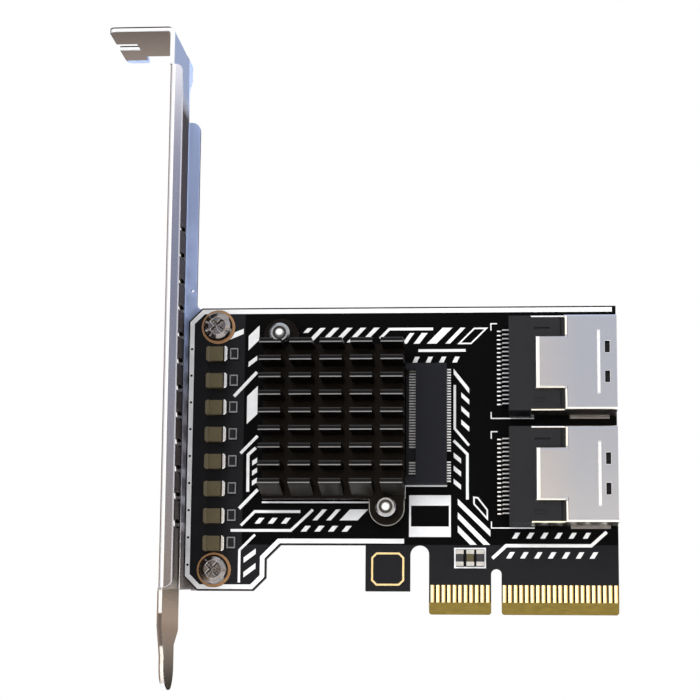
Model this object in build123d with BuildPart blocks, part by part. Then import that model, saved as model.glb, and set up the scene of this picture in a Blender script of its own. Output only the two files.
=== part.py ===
from build123d import *
import os

os.makedirs("parts", exist_ok=True)

# Storage expansion card, millimetres. The card stands as it does in a slot: X runs along the edge
# connector, Z is up, and the component side faces -Y. The origin is the middle of the key notch,
# on the component face, at the level of the contact edge.

# Board
board_thick = 1.6
board_left = -57.0
board_right = 22.0
board_top = 56.5
board_corner = 2.5
foot_bottom = 4.15
foot_right = -41.9
foot_chamfer = 2.35
shelf_height = 12.5
shelf_chamfer = 2.6
tab_left = -23.7
tab_right = -15.6
finger_left = -12.15
key_width = 1.9
key_height = 8.25
finger_corner = 0.5
bevel_height = 2.15
bevel_depth = 0.45

# Edge contacts
contact_pitch = 1.0
contact_width = 0.66
contact_top = 5.27
contact_foil = 0.05
contacts_before_key = 11
contacts_after_key = 21
first_contact_from_key = 1.5

# Bracket
sheet = 0.86
bracket_outer = -59.05
bracket_top = 106.1
tongue_tip = -13.92
blade_front = -15.96
blade_width = 18.42
ear_reach = 3.17
ear_top_drop = 0.9
ear_side_height = 3.0
tab_reach = 11.43
tab_width = 19.05
tab_bend_inside = 0.5
tab_corner = 1.2
tab_slot_width = 3.6
tab_slot_depth = 3.9
tab_slot_from_front = 9.2
relief_width = 4.1
tongue_length = 10.92
tongue_front_inset = 3.0
tongue_front_taper = 5.2
tongue_back_inset = 4.5
tongue_back_taper = 2.8
tongue_corner = 4.4
fold_outside = 1.1
lip_reach = 2.45
lip_above_shoulder = 6.7
lip_below_top = 7.1
lip_corner = 1.4
flange_reach = 3.2
flange_below_screw = 3.5
flange_below_top = 13.3
flange_corner = 1.6
lug_radius = 3.7
lug_fillet = 1.2
pilot_hole = 0.6
pilot_hole_above_board = 3.7
pilot_hole_from_edge = 0.85
vent_count = 12
vent_pitch = 5.0
vent_first = 16.2
vent_length = 12.0
vent_height = 1.5
vent_corner = 0.45
vent_from_front = 11.2

# Bracket screws
screw_x = -51.45
screw_below_top = 3.6
screw_above_foot = 3.75
screw_head = 5.4
screw_head_height = 1.9
screw_head_edge = 0.75
screw_shank = 2.9
screw_hole = 3.2
screw_past_lug = 0.8
recess_arm = 2.9
recess_width = 0.8
recess_depth = 1.1
pad_ring = 6.3
pad_foil = 0.05

# Controller, pad and heat sink
chip_side = 14.0
chip_thick = 1.1
chip_edge = 0.25
pad_side = 13.0
pad_thick = 0.4
sink_x = -29.5
sink_top = 49.0
sink_base_height = 28.4
sink_base_thick = 1.6
fin_columns = 5
fin_rows = 9
fin_column_pitch = 5.5
fin_row_pitch = 3.19
fin_wide = 4.0
fin_thick = 0.85
fin_tall = 7.5
fin_foot = 1.5
sink_lug_radius = 3.2
pin_offset_x = 9.8
pin_offset_z = 15.9

# Heat sink pins and springs
pin_head = 3.7
pin_head_thick = 0.7
pin_dome = 1.5
pin_dome_rise = 0.45
pin_shank = 1.8
pin_hole = 2.0
pin_barb = 2.5
pin_barb_length = 1.5
spring_turns = 2
spring_wire = 0.4
spring_free = 2.6
spring_mean = 2.9

# Ports
port_from_top = 12.05
port_pitch = 20.05
port_width = 17.2
port_height = 10.0
port_sheet = 0.3
port_rear = 2.45
shell_rear = 12.35
shell_mouth = 21.75
shell_roll = 0.6
saddle_rear = 7.15
saddle_width = 9.6
arm_rear = 6.4
arm_drop = 1.2
housing_height = 9.0
nose_end = 15.2
card_slot_width = 1.3
card_slot_length = 14.8
card_slot_depth = 5.5
liner_thick = 0.8
liner_inset = 0.5
lead_count = 18
lead_pitch = 0.8
lead_width = 0.32
lead_thick = 0.2
lead_foot = 0.25
lead_rise = 1.5
lead_toe = 0.8
lead_slope = 0.4
card_contact_length = 3.6
lead_row_shift = 0.5
latch_width = 0.9
latch_length = 2.1
latch_spread = 5.4
latch_from_mouth = 1.75
rib_length = 11.5
rib_width = 0.42
rib_rise = 0.12
rib_from_mouth = 3.3
solder_flange_length = 7.2
solder_flange_reach = 0.35

# Module socket
socket_left = -16.4
socket_right = -8.9
socket_bottom = 23.45
socket_top = 45.5
socket_height = 3.2
socket_shelf = 1.2
socket_step = 1.9
socket_cheek = 1.2
socket_mouth_width = 1.4
socket_mouth_depth = 3.6
socket_pitch = 0.5
socket_long_row = 31
socket_short_row = 8
socket_contact_width = 0.24
socket_contact_thick = 0.16
socket_tail = 0.7

# Capacitors and small chips
capacitor_count = 8
capacitor_x = -51.4
capacitor_above_screw = 4.7
capacitor_pitch = 5.0
capacitor_long = 3.95
capacitor_wide = 2.8
capacitor_high = 2.0
capacitor_end = 0.75
capacitor_end_corner = 0.3
capacitor_waist = 0.06
small_chip_xs = (-6.58, -4.68, -2.88)
small_chip_middle = 10.15
small_chip_long = 2.9
small_chip_wide = 1.4
small_chip_high = 0.8
small_chip_end = 0.75

# Printed legend
ink = 0.04
band_width = 0.85
band_inset = 0.68
line_width = 0.5
thin_line = 0.28
label_left = -15.8
label_bottom = 13.95
label_width = 7.6
label_height = 7.6
via_dot = 0.5
via_above_capacitor = 1.2
badge_side = 6.0
badge_corner = 0.9
badge_line = 0.35

# Levels and planes that the sub-parts share
face = Plane.XZ
board_back = Plane.XZ.offset(-board_thick)
bracket_inner = bracket_outer + sheet
blade_back = blade_front + blade_width
tab_under = bracket_top - sheet
screw_heights = {"upper": board_top - screw_below_top, "lower": foot_bottom + screw_above_foot}
shoulder_height = tongue_tip + tongue_length
lip_bottom = shoulder_height + lip_above_shoulder
lip_top = bracket_top - lip_below_top
flange_bottom = screw_heights["lower"] - flange_below_screw
flange_top = bracket_top - flange_below_top
capacitor_first = screw_heights["lower"] + capacitor_above_screw
port_centres = {"upper": board_top - port_from_top, "lower": board_top - port_from_top - port_pitch}
chip_front = chip_thick
sink_back = chip_thick + pad_thick
sink_front = sink_back + sink_base_thick
sink_middle = sink_top - sink_base_height / 2
pin_places = {
    "upper": (sink_x - pin_offset_x, sink_middle + pin_offset_z),
    "lower": (sink_x + pin_offset_x, sink_middle - pin_offset_z),
}


# Circuit board: one routed outline with the connector key, the notch beside it and the tab
with BuildPart() as circuit_board:
    with BuildSketch(face) as board_outline:
        with BuildLine():
            Polyline(
                (board_left, foot_bottom + board_corner),
                (board_left, board_top - board_corner),
                (board_left + board_corner, board_top),
                (board_right, board_top),
                (board_right, 0),
                (finger_left, 0),
                (finger_left, foot_bottom),
                (tab_left, foot_bottom),
                (tab_left, shelf_height),
                (foot_right + shelf_chamfer, shelf_height),
                (foot_right, shelf_height - shelf_chamfer),
                (foot_right, foot_bottom + foot_chamfer),
                (foot_right - foot_chamfer, foot_bottom),
                (board_left + board_corner, foot_bottom),
                close=True,
            )
        make_face()
        SlotOverall(2 * key_height, key_width, rotation=90, mode=Mode.SUBTRACT)
        with Locations(((tab_right + finger_left) / 2, 0)):
            SlotOverall(2 * shelf_height, finger_left - tab_right, rotation=90, mode=Mode.SUBTRACT)
        fillet(board_outline.vertices().group_by(Axis.Y)[0], radius=finger_corner)
        with Locations([(screw_x, height) for height in screw_heights.values()]):
            Circle(screw_hole / 2, mode=Mode.SUBTRACT)
        with Locations(list(pin_places.values())):
            Circle(pin_hole / 2, mode=Mode.SUBTRACT)
    extrude(amount=-board_thick)
    with BuildSketch(Plane.YZ.offset(finger_left)):
        Polygon((0, 0), (bevel_depth, 0), (0, bevel_height), align=None)
        Polygon(
            (board_thick, 0), (board_thick, bevel_height), (board_thick - bevel_depth, 0), align=None
        )
    extrude(amount=board_right - finger_left, mode=Mode.SUBTRACT)
circuit_board.part.label = "circuit_board"
export_step(circuit_board.part, "parts/circuit_board.step")


# Edge contacts: foil pads from above the bevel up, the back a mirror of the front
contact_xs = [-first_contact_from_key - contact_pitch * n for n in range(contacts_before_key)]
contact_xs += [first_contact_from_key + contact_pitch * n for n in range(contacts_after_key)]

with BuildPart() as edge_contacts_front:
    with BuildSketch(face):
        with Locations([(x, (bevel_height + contact_top) / 2) for x in contact_xs]):
            Rectangle(contact_width, contact_top - bevel_height)
    extrude(amount=contact_foil)
edge_contacts_front.part.label = "edge_contacts_front"
export_step(edge_contacts_front.part, "parts/edge_contacts_front.step")

with BuildPart() as edge_contacts_back:
    add(edge_contacts_front.part)
    mirror(about=face.offset(-board_thick / 2), mode=Mode.REPLACE)
edge_contacts_back.part.label = "edge_contacts_back"
export_step(edge_contacts_back.part, "parts/edge_contacts_back.step")


# Printed legend: a border band, slanted stripes, ticks and thin lines
def rising(x, z, wide, up, tall):
    """A stripe with upright ends that climbs to the right."""
    Polygon((x, z), (x + wide, z + up), (x + wide, z + up + tall), (x, z + tall), align=None)


def leaning(x, z, wide, tall, lean):
    """A stripe with level ends that leans to the right."""
    Polygon((x, z), (x + wide, z), (x + wide + lean, z + tall), (x + lean, z + tall), align=None)


def stroke(width, *points):
    """A printed line through the points."""
    with BuildLine(mode=Mode.PRIVATE) as path:
        Polyline(*points)
    trace(path.line, line_width=width)


with BuildPart() as white_legend:
    with BuildSketch(face):
        edge = band_inset
        slant = 0.41 * band_inset
        stroke(
            band_width,
            (board_right - edge, board_top - edge),
            (board_left + board_corner + slant, board_top - edge),
            (board_left + edge, board_top - board_corner - slant),
            (board_left + edge, foot_bottom + board_corner + slant),
            (board_left + board_corner + slant, foot_bottom + edge),
            (foot_right - foot_chamfer - slant, foot_bottom + edge),
            (foot_right - edge, foot_bottom + foot_chamfer + slant),
            (foot_right - edge, shelf_height - shelf_chamfer + slant),
            (foot_right + shelf_chamfer - slant, shelf_height + edge),
            (tab_left + 7.0, shelf_height + edge),
        )
        # Vias under the left border, one beside each capacitor and two at its foot
        with Locations((board_left + band_inset, capacitor_first + via_above_capacitor)):
            with Locations([(0, capacitor_pitch * n) for n in range(-1, capacitor_count)]):
                RegularPolygon(via_dot / 2, 6, mode=Mode.SUBTRACT)
        # Between the capacitors and the heat sink
        middle = sink_middle
        rising(-49.6, middle + 15.6, 2.9, 1.2, 1.0)
        rising(-45.75, middle + 13.7, 2.0, 2.0, 2.7)
        rising(-45.7, middle + 10.6, 1.6, 1.2, 0.9)
        stroke(0.6, (-44.1, middle + 9.6), (-48.3, middle + 5.1))
        rising(-45.85, middle - 0.1, 1.95, 1.9, 5.2)
        stroke(0.55, (-43.8, middle - 2.3), (-46.9, middle - 5.5))
        stroke(0.55, (-45.45, middle - 12.6), (-45.5, middle - 5.8), (-44.1, middle - 4.5))
        for n in range(3):
            rising(-44.7, middle - 11.5 + 1.85 * n, 0.9, 0.6, 0.9)
        stroke(0.6, (-43.6, middle - 12.2), (-47.0, middle - 15.7))
        # Above the heat sink
        top = board_top - 3.85
        leaning(-35.6, top - 0.9, 0.95, 0.9, 0.85)
        for n in range(5):
            leaning(-35.0 + 2.5 * n, top - 2.75, 1.0, 2.75, 2.6)
        stroke(line_width, (-21.3, top - 2.05), (-19.6, top - 0.3), (-11.5, top - 0.3))
        leaning(-17.2, top - 3.05, 0.85, 2.0, 1.4)
        leaning(-15.1, top - 3.05, 1.1, 2.0, 1.5)
        leaning(-12.65, top - 3.05, 1.8, 2.95, 2.9)
        leaning(-9.25, top - 3.05, 0.9, 2.95, 2.8)
        frame_line = ((-6.7, top - 3.05), (-4.5, top - 3.05), (-1.7, top - 0.25), (-3.9, top - 0.25))
        stroke(thin_line, *frame_line, frame_line[0])
        stroke(line_width, (-14.2, top - 4.35), (-5.5, top - 4.35))
        for n in range(4):
            leaning(-15.3 + 2.45 * n, top - 6.6, 0.85, 1.1, 0.5)
        stroke(0.4, (-16.9, top - 6.4), (-16.9, top - 4.15))
        # Between the module socket and the ports
        middle = (socket_bottom + socket_top) / 2
        rising(-7.7, middle + 9.4, 2.85, -3.6, 1.0)
        stroke(0.45, (-7.5, middle + 7.4), (-7.5, middle - 0.7), (-4.9, middle - 3.8))
        for n in range(3):
            rising(-6.3, middle + 5.1 - 2.5 * n, 1.45, -1.35, 0.9)
            rising(-7.7, middle - 6.0 - 2.4 * n, 1.35, -1.1, 0.9)
        stroke(line_width, (-7.7, middle - 2.9), (-5.2, middle - 5.4), (-5.2, middle - 13.7))
        rising(-6.95, middle - 14.65, 5.9, -5.75, 1.1)
        low = shelf_height + 0.05
        Polygon((-6.95, low + 5.9), (-1.1, low), (-2.3, low), (-6.95, low + 4.75), align=None)
        Polygon((-6.95, low + 3.5), (-3.5, low), (-4.7, low), (-6.95, low + 2.3), align=None)
        frame_line = (
            (-4.0, middle - 13.3),
            (-3.3, middle - 13.4),
            (-1.6, middle - 15.6),
            (-1.6, middle - 17.2),
            (-4.0, middle - 14.5),
        )
        stroke(thin_line, *frame_line, frame_line[0])
        # Below the ports
        for n in range(6):
            leaning(2.85 + 2.55 * n, low + 1.15, 0.85, 1.05, 0.65)
        stroke(0.6, (-0.7, low - 2.45), (1.8, low - 0.15), (17.1, low - 0.15), (19.9, low + 2.35))
        for n in range(7):
            leaning(1.8 + 2.5 * n, low - 2.45, 0.85, 1.15, 0.7)
        # Below the heat sink
        stroke(line_width, (-46.6, low + 3.45), (-44.1, low + 6.0), (-35.7, low + 6.0))
        for n in range(3):
            leaning(-44.1 + 2.43 * n, low + 3.8, 0.95, 1.05, 0.85)
        stroke(line_width, (-48.5, low + 2.55), (-37.4, low + 2.55), (-33.4, low + 6.35))
        for n in range(2):
            leaning(-33.45 + 2.5 * n, low + 4.4, 0.85, 2.0, 1.8)
        leaning(-28.5, low + 4.4, 3.3, 2.0, 1.9)
        for n in range(4):
            leaning(-35.6 + 2.5 * n, low + 2.35, 1.0, 1.05, 0.85)
        below_base = sink_middle - sink_base_height / 2 - 0.35
        stroke(0.3, (-42.8, below_base), (-23.2, below_base))
        # On the foot below the capacitors
        stroke(0.45, (-46.8, foot_bottom + 1.45), (-46.8, foot_bottom + 7.35), (-44.0, foot_bottom + 10.15))
        for n in range(2):
            rising(-46.0, foot_bottom + 2.35 + 2.65 * n, 2.2, 1.65, 1.0)
        # Round the small chips and beside the module socket and the ports
        stroke(thin_line, (-16.6, 20.9), (-16.6, socket_bottom - 0.2), (socket_right, socket_bottom - 0.2))
        chip_frame = small_chip_long + 0.8
        with Locations(((small_chip_xs[0] + small_chip_xs[2]) / 2, small_chip_middle)):
            Rectangle(5.75, chip_frame)
            Rectangle(5.75 - 2 * thin_line, chip_frame - 2 * thin_line, mode=Mode.SUBTRACT)
        for centre in port_centres.values():
            high = centre + port_width / 2 + 0.2
            stroke(0.2, (0.3, high), (-0.85, high), (-0.85, high - 1.3))
            low = centre - port_width / 2 - 0.2
            stroke(0.2, (port_rear + 4.5, low), (-0.85, low), (-0.85, low + 1.2))
        # Blank label field with a dark band across it
        with Locations((label_left + label_width / 2, label_bottom + label_height / 2)):
            Rectangle(label_width, label_height)
            Rectangle(label_width - 0.7, label_height * 0.5, mode=Mode.SUBTRACT)
        # Clear of the screw pads
        with Locations([(screw_x, height) for height in screw_heights.values()]):
            Circle(pad_ring / 2 + 0.05, mode=Mode.SUBTRACT)
    extrude(amount=ink)
white_legend.part.label = "white_legend"
export_step(white_legend.part, "parts/white_legend.step")


# Blank badge on the tab: a plated frame with rounded corners
with BuildPart() as tab_badge:
    with BuildSketch(face) as badge:
        with Locations(((tab_left + tab_right) / 2, (foot_bottom + shelf_height) / 2 - 0.2)):
            Rectangle(badge_side, badge_side)
        chamfer(badge.vertices(), length=badge_corner)
        offset(amount=-badge_line, kind=Kind.INTERSECTION, mode=Mode.SUBTRACT)
    extrude(amount=ink)
tab_badge.part.label = "tab_badge"
export_step(tab_badge.part, "parts/tab_badge.step")


# Screw pads: tinned rings on the board, one under each screw head
with BuildPart() as screw_pads:
    with BuildSketch(face):
        with Locations([(screw_x, height) for height in screw_heights.values()]):
            RegularPolygon(pad_ring / 2, 24)
            RegularPolygon(screw_hole / 2 + 0.1, 12, mode=Mode.SUBTRACT)
    extrude(amount=pad_foil)
screw_pads.part.label = "screw_pads"
export_step(screw_pads.part, "parts/screw_pads.step")


# Bracket: one folded sheet, with a blade, a slotted tab, a front lip, a back flange and two lugs
tab_bend_outside = tab_bend_inside + sheet
tab_back = blade_front + tab_width
relief_front = tab_back - relief_width
tab_end = bracket_outer - tab_reach
lip_end = bracket_outer + lip_reach
flange_end = bracket_outer + flange_reach

with BuildPart() as bracket:
    # Blade, narrowed where the lip and the flange fold away from it
    with BuildSketch(Plane.YZ.offset(bracket_outer)):
        with BuildLine():
            Polyline(
                (blade_front, shoulder_height),
                (blade_front, lip_bottom),
                (blade_front + fold_outside, lip_bottom),
                (blade_front + fold_outside, lip_top),
                (blade_front, lip_top),
                (blade_front, bracket_top - tab_bend_outside),
                (relief_front, bracket_top - tab_bend_outside),
                (relief_front, bracket_top - ear_top_drop),
                (blade_back + ear_reach, bracket_top - ear_top_drop),
                (blade_back + ear_reach, bracket_top - ear_top_drop - ear_side_height),
                (blade_back, bracket_top - ear_top_drop - ear_side_height - ear_reach),
                (blade_back, flange_top),
                (blade_back - fold_outside, flange_top),
                (blade_back - fold_outside, flange_bottom),
                (blade_back, flange_bottom),
                (blade_back, shoulder_height),
                (blade_back - tongue_back_inset, shoulder_height - tongue_back_taper),
                (blade_back - tongue_back_inset, tongue_tip),
                (blade_front + tongue_front_inset, tongue_tip),
                (blade_front + tongue_front_inset, shoulder_height - tongue_front_taper),
                close=True,
            )
        blade = make_face()
        fillet(blade.vertices().group_by(Axis.Y)[0], radius=tongue_corner)
    extrude(amount=sheet)
    # Tab folded outward over its own bend
    with BuildSketch(face.offset(-blade_front)):
        with BuildLine():
            Line((tab_end, bracket_top), (bracket_inner - tab_bend_outside, bracket_top))
            RadiusArc(
                (bracket_inner - tab_bend_outside, bracket_top),
                (bracket_inner, bracket_top - tab_bend_outside),
                tab_bend_outside,
            )
            Line((bracket_inner, bracket_top - tab_bend_outside), (bracket_outer, bracket_top - tab_bend_outside))
            RadiusArc(
                (bracket_outer, bracket_top - tab_bend_outside),
                (bracket_outer - tab_bend_inside, tab_under),
                -tab_bend_inside,
            )
            Line((bracket_outer - tab_bend_inside, tab_under), (tab_end, tab_under))
            Line((tab_end, tab_under), (tab_end, bracket_top))
        make_face()
    extrude(amount=-tab_width)
    with BuildSketch(Plane.XY.offset(tab_under)):
        with Locations((tab_end, blade_front + tab_slot_from_front)):
            Rectangle(2 * tab_slot_depth, tab_slot_width)
    extrude(amount=sheet, mode=Mode.SUBTRACT)
    with BuildSketch(Plane.XY.offset(bracket_top)):
        with Locations((bracket_inner, tab_back)):
            Rectangle(2 * (sheet + 7.2), 2 * relief_width)
    extrude(amount=-ear_top_drop + 0.04, mode=Mode.SUBTRACT)
    tab_corners = bracket.edges().filter_by(Axis.Z).group_by(Axis.X)[0]
    fillet(tab_corners.sort_by(Axis.Y)[0], radius=tab_corner)
    fillet(bracket.edges().filter_by(Axis.Z).group_by(Axis.X)[0].sort_by(Axis.Y)[-1], radius=tab_corner)
    # Front lip
    with BuildSketch(Plane.XY.offset(lip_bottom)):
        with BuildLine():
            Line((bracket_outer, blade_front + fold_outside), (bracket_inner, blade_front + fold_outside))
            RadiusArc(
                (bracket_inner, blade_front + fold_outside),
                (bracket_outer + fold_outside, blade_front + sheet),
                -(fold_outside - sheet),
            )
            Line((bracket_outer + fold_outside, blade_front + sheet), (lip_end, blade_front + sheet))
            Line((lip_end, blade_front + sheet), (lip_end, blade_front))
            Line((lip_end, blade_front), (bracket_outer + fold_outside, blade_front))
            RadiusArc(
                (bracket_outer + fold_outside, blade_front),
                (bracket_outer, blade_front + fold_outside),
                fold_outside,
            )
        make_face()
    extrude(amount=lip_top - lip_bottom)
    # Back flange
    with BuildSketch(Plane.XY.offset(flange_bottom)):
        with BuildLine():
            Line((bracket_inner, blade_back - fold_outside), (bracket_outer, blade_back - fold_outside))
            RadiusArc(
                (bracket_outer, blade_back - fold_outside),
                (bracket_outer + fold_outside, blade_back),
                fold_outside,
            )
            Line((bracket_outer + fold_outside, blade_back), (flange_end, blade_back))
            Line((flange_end, blade_back), (flange_end, board_thick))
            Line((flange_end, board_thick), (bracket_outer + fold_outside, board_thick))
            RadiusArc(
                (bracket_outer + fold_outside, board_thick),
                (bracket_inner, blade_back - fold_outside),
                -(fold_outside - sheet),
            )
        make_face()
    extrude(amount=flange_top - flange_bottom)
    # Lugs behind the board
    with BuildSketch(board_back):
        for height in screw_heights.values():
            with Locations((screw_x, height)):
                Circle(lug_radius)
            with Locations(((flange_end + screw_x) / 2, height)):
                Rectangle(screw_x - flange_end, 2 * lug_radius)
        for height in screw_heights.values():
            for side in (-1, 1):
                root = height + side * lug_radius
                if root > flange_bottom:
                    with BuildLine():
                        Line((flange_end, root), (flange_end, root + side * lug_fillet))
                        RadiusArc(
                            (flange_end, root + side * lug_fillet),
                            (flange_end + lug_fillet, root),
                            -side * lug_fillet,
                        )
                        Line((flange_end + lug_fillet, root), (flange_end, root))
                    make_face()
        with Locations([(screw_x, height) for height in screw_heights.values()]):
            Circle(screw_shank / 2, mode=Mode.SUBTRACT)
    extrude(amount=-sheet)
    # Rounded ends of the lip and the flange
    lip_edges = bracket.edges().filter_by(Axis.Y).filter_by_position(Axis.X, lip_end - 0.01, lip_end + 0.01)
    lip_edges = lip_edges.filter_by_position(Axis.Y, blade_front, blade_front + sheet)
    fillet(lip_edges.filter_by(lambda edge: abs(edge.length - sheet) < 0.01), radius=lip_corner)
    flange_edges = bracket.edges().filter_by(Axis.Y).filter_by_position(Axis.Z, flange_top - 0.01, flange_top + 0.01)
    fillet(flange_edges.sort_by(Axis.X)[-1], radius=flange_corner)
    with BuildSketch(board_back):
        with Locations((flange_end - pilot_hole_from_edge, board_top + pilot_hole_above_board)):
            Circle(pilot_hole / 2)
    extrude(amount=-sheet, mode=Mode.SUBTRACT)
    # Vent slots
    with BuildSketch(Plane.YZ.offset(bracket_outer)) as vents:
        vent_middle = vent_first + vent_pitch * (vent_count - 1) / 2
        with Locations((blade_front + vent_from_front, vent_middle)):
            with GridLocations(1, vent_pitch, 1, vent_count):
                Rectangle(vent_length, vent_height)
        chamfer(vents.vertices(), length=vent_corner)
    extrude(amount=sheet, mode=Mode.SUBTRACT)
bracket.part.label = "bracket"
export_step(bracket.part, "parts/bracket.step")


# Bracket screws: pan heads with a cross recess, threaded into the lugs
for where, height in screw_heights.items():
    with BuildPart() as screw:
        with BuildSketch(Plane((screw_x, 0, height), x_dir=(1, 0, 0), z_dir=(0, 0, 1))):
            with BuildLine():
                Polyline(
                    (0, -screw_head_height),
                    (0, board_thick + sheet + screw_past_lug),
                    (screw_shank / 2, board_thick + sheet + screw_past_lug),
                    (screw_shank / 2, -pad_foil),
                    (screw_head / 2, -pad_foil),
                    (screw_head / 2, -screw_head_edge),
                    (0.88 * screw_head / 2, -0.78 * screw_head_height),
                    (0.62 * screw_head / 2, -screw_head_height),
                    (0, -screw_head_height),
                )
            make_face()
        revolve(axis=Axis((screw_x, 0, height), (0, 1, 0)))
        with BuildSketch(face.offset(screw_head_height)):
            with Locations((screw_x, height)):
                Rectangle(recess_arm, recess_width, rotation=45)
                Rectangle(recess_width, recess_arm, rotation=45)
        extrude(amount=-recess_depth, taper=12, mode=Mode.SUBTRACT)
    screw.part.label = f"bracket_screw_{where}"
    export_step(screw.part, f"parts/bracket_screw_{where}.step")


# Controller chip and thermal pad under the heat sink
with BuildPart() as controller_chip:
    with BuildSketch(face):
        with Locations((sink_x, sink_middle)):
            Rectangle(chip_side, chip_side)
    extrude(amount=chip_thick)
    chamfer(controller_chip.edges().filter_by(Axis.Y), length=chip_edge)
controller_chip.part.label = "controller_chip"
export_step(controller_chip.part, "parts/controller_chip.step")

with BuildPart() as thermal_pad:
    with BuildSketch(face.offset(chip_front)):
        with Locations((sink_x, sink_middle)):
            Rectangle(pad_side, pad_side)
    extrude(amount=pad_thick)
thermal_pad.part.label = "thermal_pad"
export_step(thermal_pad.part, "parts/thermal_pad.step")


# Heat sink: base with two corner lugs and a field of cross-cut fins
sink_width = fin_column_pitch * (fin_columns - 1) + fin_wide
fin_field_height = fin_row_pitch * (fin_rows - 1) + fin_thick

with BuildPart() as heat_sink:
    with BuildSketch(face.offset(sink_back)):
        with Locations((sink_x, sink_middle)):
            Rectangle(sink_width, sink_base_height)
        for side, (x, z) in zip((-1, 1), pin_places.values()):
            with Locations((x, z)):
                Circle(sink_lug_radius)
            with Locations((x, (z + sink_middle) / 2)):
                Rectangle(2 * sink_lug_radius, abs(z - sink_middle))
        with Locations(list(pin_places.values())):
            Circle(pin_hole / 2, mode=Mode.SUBTRACT)
    extrude(amount=sink_base_thick)
    with BuildSketch(face.offset(sink_front)):
        with Locations((sink_x, sink_top - fin_field_height / 2)):
            with GridLocations(fin_column_pitch, fin_row_pitch, fin_columns, fin_rows):
                Rectangle(fin_wide, fin_thick)
        with Locations(list(pin_places.values())):
            Circle(pin_head / 2 + 0.15, mode=Mode.SUBTRACT)
    extrude(amount=fin_tall)
    # The lowest row spreads towards its foot
    lowest = sink_top - fin_field_height
    for column in range(fin_columns):
        with BuildSketch(Plane.YZ.offset(sink_x - sink_width / 2 + fin_column_pitch * column)):
            Polygon(
                (-sink_front - fin_tall, lowest),
                (-sink_front, lowest - fin_foot),
                (-sink_front, lowest),
                align=None,
            )
        extrude(amount=fin_wide)
heat_sink.part.label = "heat_sink"
export_step(heat_sink.part, "parts/heat_sink.step")


# Heat sink pins: a flat head with a dome, a shank through the board and a split barb, over a spring
for where, (x, z) in pin_places.items():
    head_back = -sink_front - spring_free
    head_front = head_back - pin_head_thick
    barb_tip = board_thick + pin_barb_length
    with BuildPart() as pin:
        with BuildSketch(Plane((x, 0, z), x_dir=(1, 0, 0), z_dir=(0, 0, 1))):
            with BuildLine():
                Polyline(
                    (0, head_front - pin_dome_rise),
                    (0.35 * pin_dome, head_front - 0.8 * pin_dome_rise),
                    (pin_dome / 2, head_front),
                    (pin_head / 2 - 0.3, head_front),
                    (pin_head / 2, head_front + 0.3),
                    (pin_head / 2, head_back),
                    (pin_shank / 2, head_back),
                    (pin_shank / 2, board_thick),
                    (pin_barb / 2, board_thick),
                    (pin_shank / 2 - 0.35, barb_tip),
                    (0, barb_tip),
                    (0, head_front - pin_dome_rise),
                )
            make_face()
        revolve(axis=Axis((x, 0, z), (0, 1, 0)))
        with BuildSketch(board_back):
            with Locations((x, z)):
                Rectangle(0.4, 2 * pin_barb)
        extrude(amount=-pin_barb_length, mode=Mode.SUBTRACT)
    pin.part.label = f"heat_sink_pin_{where}"
    export_step(pin.part, f"parts/heat_sink_pin_{where}.step")

    with BuildPart() as spring:
        coil_length = spring_free - 1.1 * spring_wire
        with BuildLine():
            coil = Helix(
                pitch=coil_length / spring_turns,
                height=coil_length,
                radius=spring_mean / 2,
                center=(x, -sink_front - 0.55 * spring_wire, z),
                direction=(0, -1, 0),
            )
        with BuildSketch(Plane(coil @ 0, z_dir=coil % 0)):
            RegularPolygon(spring_wire / 2, 4)
        sweep(path=coil, is_frenet=True)
    spring.part.label = f"heat_sink_spring_{where}"
    export_step(spring.part, f"parts/heat_sink_spring_{where}.step")


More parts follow.
